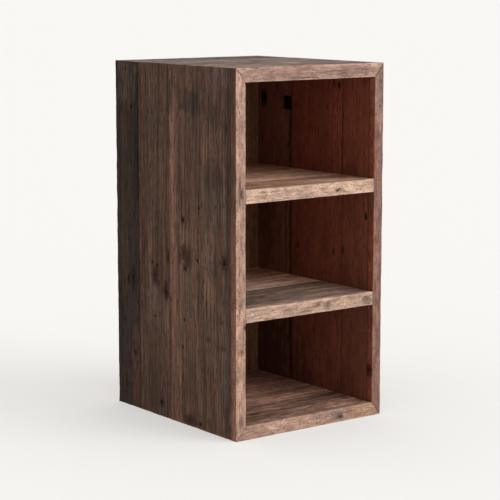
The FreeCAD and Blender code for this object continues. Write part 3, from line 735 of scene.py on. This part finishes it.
                          (-20, -100, 34, 12, (0.10, 0.075, 0.055), 0.6),
                          (-110, -200, 80, 6, (0.46, 0.27, 0.20), 0.7)])),
    # The middle and rear lower shelf boards are paler partly by their own colour and partly by painted light,
    # making up for the shade deep in the compartment.
    "lower_shelf_board_middle": dict(
        order=SHELF, face="+", settle=0.4, look=dict(LOWER_SHELF_LOOK, base=(0.88, 0.60, 0.46))),
    "lower_shelf_board_rear": dict(
        order=SHELF, face="+", settle=0.2, look=dict(LOWER_SHELF_LOOK, base=(0.76, 0.47, 0.33))),
    "edging_left": dict(
        order=PANEL, mitre=(1, False, LEVEL_THICK), spacing=EDGE_SPACING,
        radii={"b-c-": WORN, "b+c-": 1.4, "a-b-": TIP, "a+b-": TIP},
        flaws=[("crack", 523, -187, 11, 1.2, 1.6), ("hole", 241, -177, 5, 1.6, 1.8)],
        # its outer side takes painted shade, darker towards the head
        look=dict(EDGE_LOOK, base=EDGE_TAN, shaded_flank=((0.56, 0.41, 0.35), (0.22, 0.165, 0.14)),
                  knots=[(521, -187, 8, 4, 0.6), (514, -182, 5, 2.5, 0.6), (40, -187, 12, 6, 0.3),
                         (241, -177, 8, 3, 0.6), (190, -186, 7, 9, 0.2), (545, -190, 14, 2.5, 0.6),
                         (505, -190, 12, 2.5, 0.5)],
                  stains=[(520, -186, 24, 12, (0.20, 0.145, 0.135), 0.85),
                          (40, -187, 16, 8, (0.24, 0.17, 0.15), 0.6),
                          (655, -184, 70, 8, (0.36, 0.235, 0.18), 0.6),
                          (720, -188, 40, 10, (0.52, 0.35, 0.27), 0.5),
                          (190, -188, 9, 14, (0.30, 0.16, 0.125), 0.6)])),
    "edging_right": dict(
        order=PANEL, mitre=(1, True, LEVEL_THICK), spacing=EDGE_SPACING,
        radii={"b+c-": WORN, "b-c-": 1.4, "a-b+": TIP, "a+b+": TIP},
        # its inner side takes painted warm shade
        look=dict(EDGE_LOOK, base=EDGE_PINK, shaded_flank=((1.0, 0.55, 0.40), (1.0, 0.55, 0.40)),
                  knots=[(102, 174.6, 15, 2.2, 1.0), (740, 192, 6, 4, 0.4)],
                  stains=[(700, 188, 90, 16, (0.33, 0.21, 0.17), 0.6)])),
    "edging_top": dict(
        order=RAIL, mitre=(1, True, SIDE_THICK), spacing=EDGE_SPACING,
        radii={"b+c-": WORN, "b-c-": 1.2, "a-b+": TIP, "a+b+": TIP},
        look=dict(EDGE_LOOK, base=(0.404, 0.253, 0.200), contrast=1.2,
                  knots=[(-20, 755, 26, 2.0, 0.6), (60, 766, 40, 1.6, 0.45), (150, 768, 26, 4, 0.3)])),
    "edging_bottom": dict(
        order=RAIL, mitre=(1, False, SIDE_THICK), spacing=EDGE_SPACING,
        radii={"b-c-": WORN, "b+c-": 1.2, "a-b-": TIP, "a+b-": TIP},
        flaws=[("hole", 85, 12, 3, 1.6, 1.6)],
        look=dict(EDGE_LOOK, base=scaled(EDGE_TAN, 0.9), contrast=1.1,
                  knot=(0.100, 0.080, 0.035), knots=[(85, 12, 9, 5.5, 0.85)],
                  stains=[(70, 18, 16, 11, (0.20, 0.15, 0.14), 0.8),
                          (150, 15, 46, 16, (0.46, 0.27, 0.16), 0.8),
                          (-95, 18, 22, 10, (0.50, 0.34, 0.26), 0.6)])),
    "upper_shelf_edging": dict(
        order=RAIL, spacing=EDGE_SPACING, radii={"b+c-": WORN, "b-c-": 1.4},
        flaws=[("hole", 71, 511, 5, 1.1, 2.0), ("hole", 77, 514, 4, 1.0, 2.0)],
        look=dict(EDGE_LOOK, base=EDGE_LIGHT,
                  knots=[(73, 512, 11, 4.5, 0.55), (-128, 522, 12, 2.5, 0.4)],
                  stains=[(45, 523, 24, 5, (0.64, 0.44, 0.29), 0.6),
                          (160, 515, 20, 12, (0.54, 0.34, 0.22), 0.7),
                          (-60, 504, 60, 3, (0.36, 0.22, 0.17), 0.6)])),
    "lower_shelf_edging": dict(
        order=RAIL, spacing=EDGE_SPACING, radii={"b+c-": WORN, "b-c-": 1.4},
        flaws=[("crack", -20, 257, 24, 0.8, 1.2)],
        look=dict(EDGE_LOOK, base=scaled(EDGE_LIGHT, 0.95),
                  knots=[(19, 268, 7, 4.5, 0.55), (47, 266, 5, 9, 0.4), (47, 268, 12, 3, 0.4),
                         (158, 264, 12, 10, 0.5)],
                  stains=[(19, 268, 7, 5, (0.25, 0.20, 0.16), 0.7),
                          (47, 266, 10, 9, (0.25, 0.20, 0.16), 0.6),
                          (-148, 262, 24, 9, (0.52, 0.36, 0.29), 0.7),
                          (90, 263, 26, 9, (0.55, 0.39, 0.24), 0.7),
                          (158, 264, 18, 12, (0.24, 0.20, 0.13), 0.75)])),
}
SCREW_HEIGHTS = (265.17, 514.83)
BACK_BOARD_WIDE = 90.25
for number in range(1, 5):
    middle = BACK_BOARD_WIDE * (number - 2.5)
    BOARDS[f"back_board_{number}"] = dict(
        order=PANEL, spacing=PANEL_SPACING, settle=0.1 * (number % 3), face="+",
        flaws=[("hole", height, middle, 4.4, 4.4, 0.9) for height in SCREW_HEIGHTS],
        look=dict(base=scaled(BACK_BROWN, 1 + 0.12 * (number % 2)), streaky=0.8, mottled=0.7,
                  # painted shade in the middle compartment's rear corner, by the right side
                  stains=[(370, 165, 80, 40, (0.180, 0.085, 0.046), 0.7)]))


for seed, (node, spec) in enumerate(BOARDS.items()):
    mesh = board_mesh(node, spec["order"], spec, seed)
    mesh.materials.append(timber(node + ".timber", spec["order"], spec["look"], seed))
    piece = bpy.data.objects.new(node + ".detail", mesh)
    bpy.context.scene.collection.objects.link(piece)
    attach(piece, "root")
    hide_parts(node)


# ---------------------------------------------------------------- splines, dowels and screws

def fastener_material(name, light, dark, stretch, layer=None, metallic=0.0, roughness=0.6):
    """Fine grain stretched along the piece, with glued layers across one direction if it is given."""
    material = bpy.data.materials.new(name)
    material.use_nodes = True
    s = Shader(material.node_tree)
    s.tree.nodes.clear()
    point = s.scale(s.add("ShaderNodeTexCoord").outputs["Object"], 1 / MM)
    grain = s.noise(s.vector("MULTIPLY", point, stretch), 4.0, 0.6)
    tone = s.fade(grain, 0.3, 0.7)
    if layer:
        through = s.add("ShaderNodeVectorMath", {0: point, 1: layer}, operation="DOT_PRODUCT")
        veneer = s.fade(s.math("PINGPONG", through.outputs["Value"], 0.7), 0.25, 0.45)
        tone = s.math("MULTIPLY_ADD", tone, 0.5, s.math("MULTIPLY", veneer, 0.5))
    paint = s.mix(tone, light, dark)
    bump = s.add("ShaderNodeBump", {"Strength": 0.3, "Distance": 0.0003, "Height": grain}).outputs[0]
    rough = s.math("MULTIPLY_ADD", grain, 0.25, roughness - 0.1)
    surface = s.add("ShaderNodeBsdfPrincipled", {"Base Color": paint, "Roughness": rough, "Normal": bump,
                                                 "Metallic": metallic})
    s.add("ShaderNodeOutputMaterial", {"Surface": surface.outputs[0]})
    return material


PLY_LIGHT, PLY_DARK, PLY_GRAIN = (0.50, 0.34, 0.20), (0.24, 0.14, 0.08), (0.5, 0.04, 0.5)
BEECH = fastener_material("beech_dowel", (0.56, 0.36, 0.21), (0.36, 0.20, 0.11), (0.05, 0.9, 0.9))
ZINC = fastener_material("zinc_screw", (0.62, 0.62, 0.60), (0.34, 0.34, 0.33), (0.8, 0.8, 0.8),
                         metallic=1.0, roughness=0.42)
RISING = fastener_material("plywood_rising", PLY_LIGHT, PLY_DARK, PLY_GRAIN, (0.64, 0, -0.77))
FALLING = fastener_material("plywood_falling", PLY_LIGHT, PLY_DARK, PLY_GRAIN, (0.64, 0, 0.77))
FASTENERS = {"upper_shelf_dowels": BEECH, "lower_shelf_dowels": BEECH,
             "upper_shelf_screws": ZINC, "lower_shelf_screws": ZINC,
             "mitre_spline_top_left": FALLING, "mitre_spline_bottom_right": FALLING,
             "mitre_spline_top_right": RISING, "mitre_spline_bottom_left": RISING}
for node, material in FASTENERS.items():
    for material_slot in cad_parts[node].material_slots:
        material_slot.material = material


# ---------------------------------------------------------------- floor, light and camera

PALE = (0.922, 0.905, 0.871)
FLOOR_COLOUR = (0.555, 0.551, 0.544)
FLOOR_GLOW = (0.925, 0.919, 0.907)      # keeps the cabinet's shadow faint
GLOW_STRENGTH = 0.40
FLOOR_HALF = 150.0                      # metres
HORIZON = (0.15, 0.45)                  # the world dims as a direction's own Z goes from one to the other
OVERHEAD = 0.92                         # to this share
SUN_ENERGY = 2.0
SUN_SPREAD = 50.0                       # degrees, so that its shadows are soft
SUN_ELEVATION = 17.0                    # degrees
SUN_FROM = (0.56, -0.83)                # level direction to it: in front, to the right
CAMERA_LENS = 123.27
CAMERA_SENSOR = 36.0
CAMERA_CLIP = 500.0
CAMERA_PLACE = (-2.277, -3.012, 0.952)
CAMERA_PITCH = 8.9                      # degrees down
CAMERA_YAW = -37.17                     # degrees


def floor():
    """A wide pale floor under the cabinet."""
    material = bpy.data.materials.new("studio_floor")
    material.use_nodes = True
    shader = material.node_tree.nodes["Principled BSDF"]
    shader.inputs["Base Color"].default_value = opaque(FLOOR_COLOUR)
    shader.inputs["Emission Color"].default_value = opaque(FLOOR_GLOW)
    shader.inputs["Emission Strength"].default_value = GLOW_STRENGTH
    shader.inputs["Roughness"].default_value = 0.9
    shader.inputs["Specular IOR Level"].default_value = 0.0
    corners = [(x * FLOOR_HALF, y * FLOOR_HALF, 0) for x, y in ((-1, -1), (1, -1), (1, 1), (-1, 1))]
    mesh = bpy.data.meshes.new("studio_floor")
    mesh.from_pydata(corners, [], [(0, 1, 2, 3)])
    mesh.materials.append(material)
    plane = bpy.data.objects.new("studio_floor", mesh)
    bpy.context.scene.collection.objects.link(plane)


def studio_world():
    """Pale at the horizon, as the floor is, and a little dimmer overhead."""
    world = bpy.data.worlds.new("studio")
    world.use_nodes = True
    s = Shader(world.node_tree)
    s.tree.nodes.clear()
    height = s.split(s.add("ShaderNodeTexCoord").outputs["Generated"])[2]
    paint = s.scale(PALE, s.fade(height, *HORIZON, 1.0, OVERHEAD))
    background = s.add("ShaderNodeBackground", {"Color": paint, "Strength": 1.0})
    s.add("ShaderNodeOutputWorld", {"Surface": background.outputs[0]})
    bpy.context.scene.world = world


def key_light():
    """One large soft light, low in front and to the right."""
    light = bpy.data.lights.new("key", "SUN")
    light.energy = SUN_ENERGY
    light.angle = math.radians(SUN_SPREAD)
    lamp = bpy.data.objects.new("key", light)
    elevation = math.radians(SUN_ELEVATION)
    level = math.cos(elevation)
    towards = Vector((SUN_FROM[0] * level, SUN_FROM[1] * level, math.sin(elevation)))
    lamp.rotation_euler = towards.to_track_quat("Z", "Y").to_euler()
    bpy.context.scene.collection.objects.link(lamp)


def photo_camera():
    """The camera at the photograph's viewing angle."""
    lens = bpy.data.cameras.new("camera")
    lens.lens = CAMERA_LENS
    lens.sensor_width = CAMERA_SENSOR
    lens.clip_end = CAMERA_CLIP
    camera = bpy.data.objects.new("camera", lens)
    camera.location = CAMERA_PLACE
    camera.rotation_euler = (math.radians(90 - CAMERA_PITCH), 0.0, math.radians(CAMERA_YAW))
    bpy.context.scene.collection.objects.link(camera)
    bpy.context.scene.camera = camera


floor()
studio_world()
key_light()
photo_camera()
bpy.context.scene.view_settings.view_transform = "Standard"
